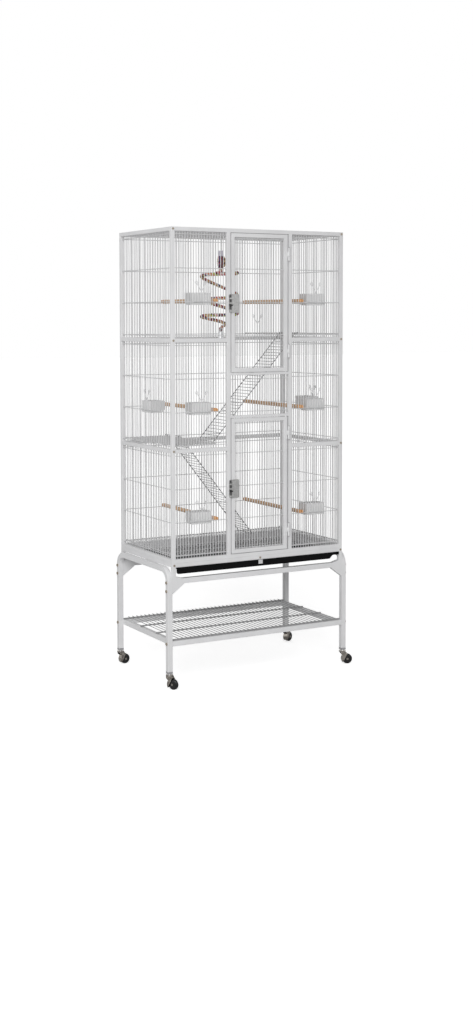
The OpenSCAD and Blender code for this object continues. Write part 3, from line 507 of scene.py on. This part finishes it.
def make_bundle():
    cap = bmesh.new()
    lathe(cap, CAP, CAP_SIDES)
    obj = link_mesh("toy_cap_piece", cap, toy_cap)
    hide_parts("toy_bundle")
    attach(obj, "toy")
    bm = bmesh.new()
    colours = []
    n = len(BUNDLE_YARNS)
    for k in range(n):
        a = 2 * math.pi * k / n + BUNDLE_TURN
        out = Vector((math.cos(a), math.sin(a), 0))
        points = []
        for j in range(BUNDLE_POINTS + 1):
            h = j / BUNDLE_POINTS
            swell = math.sin(math.pi * min(1, h * 0.92 + 0.06)) ** 0.6
            r = BUNDLE_CORE + BUNDLE_BULGE * swell
            drift = BUNDLE_LEAN * math.sin(math.pi * h)
            points.append(TOY + drift + out * r
                          + Vector((0, 0, BUNDLE_TOP - BUNDLE_HEIGHT * h)))
        path = smooth_path(points, BUNDLE_STEP)
        for i in range(2):
            for s in strand(bm, path, math.pi * i, TWINE_OFFSET, TWINE_RADIUS, TWINE_LAY):
                shade = BUNDLE_YARNS[(k + (i if s > TWINE_CHANGE else 0)) % n]
                colours += [YARNS[shade]] * STRAND_SIDES
    lathe(bm, RING, RING_SIDES)
    colours += [YARNS[RING_YARN]] * (RING_SIDES * len(RING))
    obj = link_mesh("toy_strands", bm, yarn)
    paint_yarn(obj.data, colours)
    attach(obj, "toy")


make_rope()
make_bundle()


# the light: a dim world that looks white, one wide sun and one lamp at the near left
WORLD_LIGHT, WORLD_LOOK = 0.3, 1.0
SUN_STRENGTH, SUN_WIDTH, SUN_FROM = 1.2, math.radians(30), Vector((-0.8, -1.35, 0.8))
LAMP_WATTS, LAMP_SIZE = 16, (1.4, 1.6)
LAMP_PLACE, LAMP_TARGET = Vector((-2.1, -1.5, 1.5)), Vector((0, 0, 1.05))


def make_world():
    world = bpy.data.worlds.new("world")
    scene.world = world
    world.use_nodes = True
    t = world.node_tree
    back = t.nodes["Background"]
    back.inputs["Color"].default_value = (1, 1, 1, 1)
    path = t.nodes.new("ShaderNodeLightPath")
    seen = path.outputs["Is Camera Ray"]
    for name in ("Is Glossy Ray", "Is Transmission Ray"):
        either = t.nodes.new("ShaderNodeMath")
        either.operation = "MAXIMUM"
        t.links.new(seen, either.inputs[0])
        t.links.new(path.outputs[name], either.inputs[1])
        seen = either.outputs[0]
    ramp = t.nodes.new("ShaderNodeMapRange")
    ramp.inputs["To Min"].default_value = WORLD_LIGHT
    ramp.inputs["To Max"].default_value = WORLD_LOOK
    t.links.new(seen, ramp.inputs["Value"])
    t.links.new(ramp.outputs["Result"], back.inputs["Strength"])


def shine_from(name, data, direction):
    """Adds a light that shines from the given direction."""
    obj = add_object(name, data)
    obj.rotation_mode = "QUATERNION"
    obj.rotation_quaternion = direction.to_track_quat("Z", "Y")
    return obj


def lighting():
    make_world()
    sun = bpy.data.lights.new("key", "SUN")
    sun.energy = SUN_STRENGTH
    sun.angle = SUN_WIDTH
    shine_from("key", sun, SUN_FROM)
    near = bpy.data.lights.new("near_lamp", "AREA")
    near.shape = "RECTANGLE"
    near.size, near.size_y = LAMP_SIZE
    near.energy = LAMP_WATTS
    lamp = shine_from("near_lamp", near, LAMP_PLACE - LAMP_TARGET)
    lamp.location = LAMP_PLACE
    lamp.visible_camera = False


# the pale floor: half its side in metres, and the glow that makes it look white
FLOOR_REACH, FLOOR_CELLS, FLOOR_GLOW = 40, 8, 0.62


def floor():
    m = Mat("floor")
    m.put(Roughness=0.9)
    m.colour(m.noise(3), (0.86, 0.86, 0.86, 1), (0.9, 0.9, 0.9, 1))
    out = m.tree.nodes["Material Output"]
    glow = m.node("ShaderNodeEmission")
    path = m.node("ShaderNodeLightPath")
    add = m.node("ShaderNodeAddShader")
    m.link(path.outputs["Is Camera Ray"], glow.inputs["Strength"])
    glow.inputs["Color"].default_value = (FLOOR_GLOW, FLOOR_GLOW, FLOOR_GLOW, 1)
    m.link(m.bsdf.outputs["BSDF"], add.inputs[0])
    m.link(glow.outputs["Emission"], add.inputs[1])
    m.link(add.outputs["Shader"], out.inputs["Surface"])
    bm = bmesh.new()
    bmesh.ops.create_grid(bm, x_segments=FLOOR_CELLS, y_segments=FLOOR_CELLS, size=FLOOR_REACH)
    obj = link_mesh("floor", bm, m.mat)


lighting()
floor()
scene.view_settings.view_transform = "Standard"
